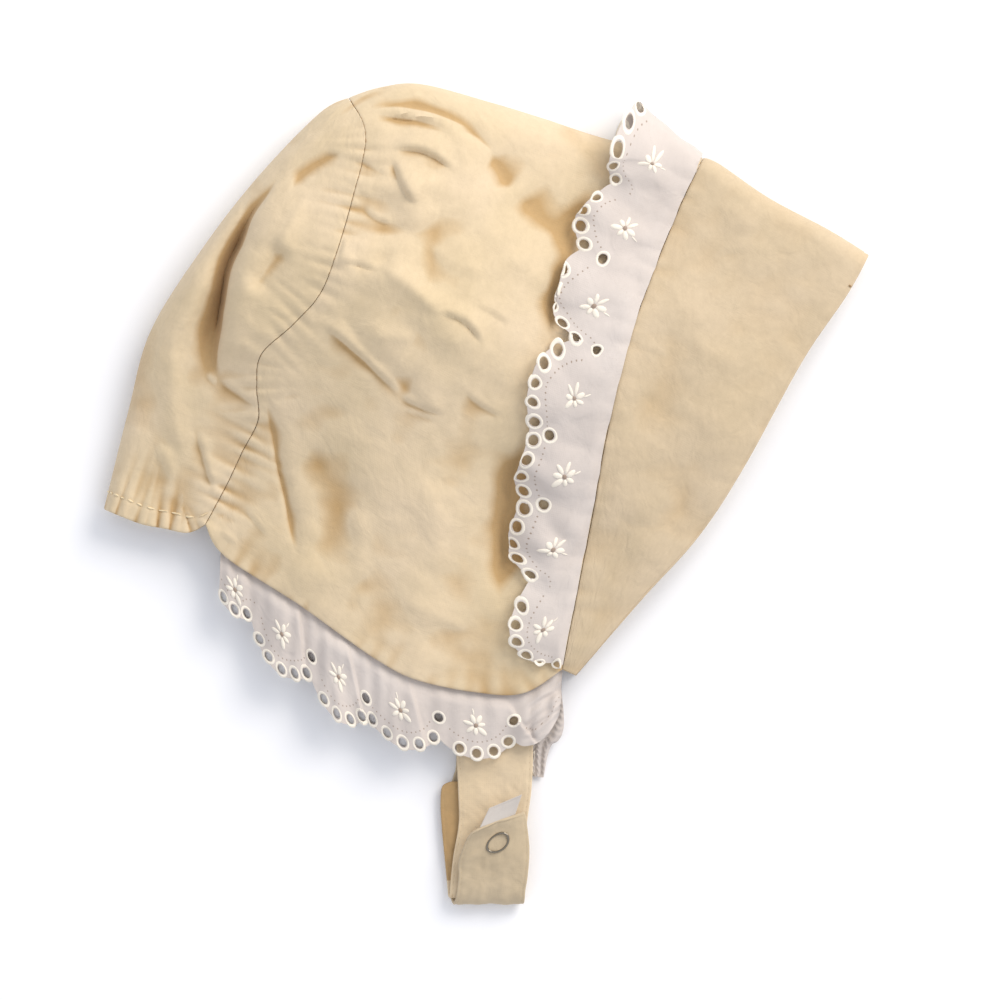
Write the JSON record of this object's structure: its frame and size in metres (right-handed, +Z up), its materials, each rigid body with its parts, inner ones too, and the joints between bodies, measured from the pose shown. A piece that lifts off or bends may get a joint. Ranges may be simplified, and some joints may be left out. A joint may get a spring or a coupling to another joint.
{
  "type": "baby bonnet",
  "caption": "Soft cotton baby bonnet with a shaped peak, eyelet lace at face and neck, and a snap chin strap, lying folded on its side.",
  "frame": {"origin": "on the floor under the middle of the bonnet's footprint as it lies on its side", "axes": "+Z up out of the near side, +X from the back of the head towards the peak, +Y from the chin straps towards the top of the crown"},
  "size_m": [0.2304, 0.2482, 0.0388],
  "materials": {
    "khaki_cotton": "soft crinkled plain-weave cotton",
    "brim_cotton": "smooth interlined cotton",
    "strap_cotton": "soft cotton with turned edges",
    "eyelet_cotton": "white embroidered eyelet cotton",
    "label_tape": "woven tape",
    "snap_metal": "plated ring"
  },
  "bodies": {
    "root": {"crown": "khaki_cotton", "back_panel": "khaki_cotton", "brim": "brim_cotton", "brim_lace": "eyelet_cotton", "neck_lace_near": "eyelet_cotton", "neck_lace_far": "eyelet_cotton", "strap_near": "strap_cotton", "strap_far": "strap_cotton", "snap_cap": "snap_metal", "snap_stud": "snap_metal", "care_label": "label_tape"}
  },
  "joints": []
}
